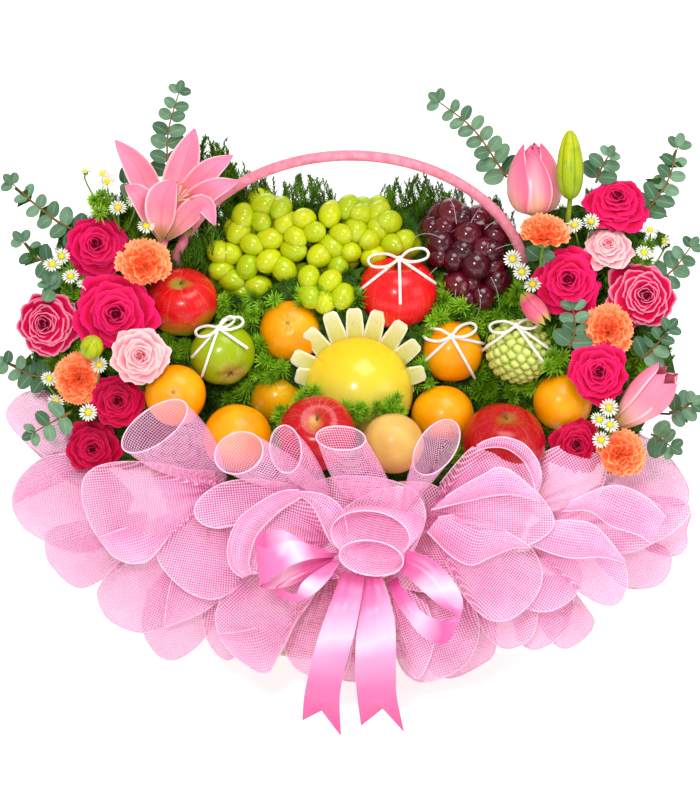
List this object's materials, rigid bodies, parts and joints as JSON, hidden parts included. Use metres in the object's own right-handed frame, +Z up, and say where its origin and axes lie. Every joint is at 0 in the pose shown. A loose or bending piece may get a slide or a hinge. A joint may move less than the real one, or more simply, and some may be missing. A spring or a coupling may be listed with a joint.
{
  "type": "fruit gift basket",
  "caption": "Oval wicker basket with an arched wrapped handle, heaped with fruit on fern moss, framed by flowers and dressed with a mesh ruffle and a ribbon bow.",
  "frame": {"origin": "middle of the basket's flat underside", "axes": "+Z up, +X to the viewer's right along the basket's long side, -Y towards the viewer, where the ruffle and the bow are"},
  "size_m": [0.7521, 0.4459, 0.5719],
  "materials": {
    "white_wicker": "white-washed woven strips",
    "pink_wrap": "ribbed pink paper tape wound round the handle",
    "pink_mesh": "sheer open mesh with a pale hem",
    "pink_satin": "glossy satin ribbon",
    "white_string": "matt white cord",
    "moss_green": "fine fern fronds over foam",
    "apple_red": "waxy apple skin",
    "apple_green": "waxy green apple skin",
    "orange_skin": "dimpled citrus skin",
    "mandarin_skin": "darker glossy citrus skin",
    "pear_skin": "fine speckled pear skin",
    "scaly_green": "pale green scaly skin",
    "melon": "cut melon, golden to pale",
    "grape_green": "translucent green grape",
    "grape_purple": "dark grape with a bloom",
    "rose_deep": "soft deep pink petals",
    "rose_blush": "soft pale pink petals",
    "rose_two_tone": "deep pink petals with pale edges",
    "carnation": "frilled coral petals",
    "lily_pink": "pink lily petals",
    "bud_green": "yellow-green bud",
    "bud_pink": "pink bud",
    "tulip_pink": "pale pink tulip petals"
  },
  "bodies": {
    "root": {"apple_front": "apple_red", "apple_left": "apple_red", "apple_right": "apple_red", "basket": "white_wicker", "carnation_a": "carnation", "carnation_b": "carnation", "carnation_c": "carnation", "carnation_d": "carnation", "carnation_e": "carnation", "carved_melon": "melon", "grapes_green": "grape_green", "grapes_purple": "grape_purple", "green_apple": "apple_green", "green_bud": "bud_green", "handle": "pink_wrap", "lily": "lily_pink", "lily_bud": "bud_green", "lily_opening": "bud_pink", "mandarin": "mandarin_skin", "mesh_skirt": "pink_mesh", "moss_bed": "moss_green", "orange_front": "orange_skin", "orange_left": "orange_skin", "orange_middle": "orange_skin", "orange_right": "orange_skin", "orange_tied": "orange_skin", "orange_top": "orange_skin", "pale_pear": "pear_skin", "red_apple": "apple_red", "rose_blush_a": "rose_blush", "rose_blush_b": "rose_blush", "rose_bud": "bud_pink", "rose_deep_a": "rose_deep", "rose_deep_b": "rose_deep", "rose_deep_c": "rose_deep", "rose_deep_d": "rose_deep", "rose_deep_e": "rose_deep", "rose_deep_f": "rose_deep", "rose_deep_g": "rose_deep", "rose_deep_h": "rose_deep", "rose_two_tone_a": "rose_two_tone", "rose_two_tone_b": "rose_two_tone", "satin_bow": "pink_satin", "sugar_apple": "scaly_green", "tie_green_apple": "white_string", "tie_orange": "white_string", "tie_red_apple": "white_string", "tie_sugar_apple": "white_string", "tulip": "tulip_pink"}
  },
  "joints": []
}
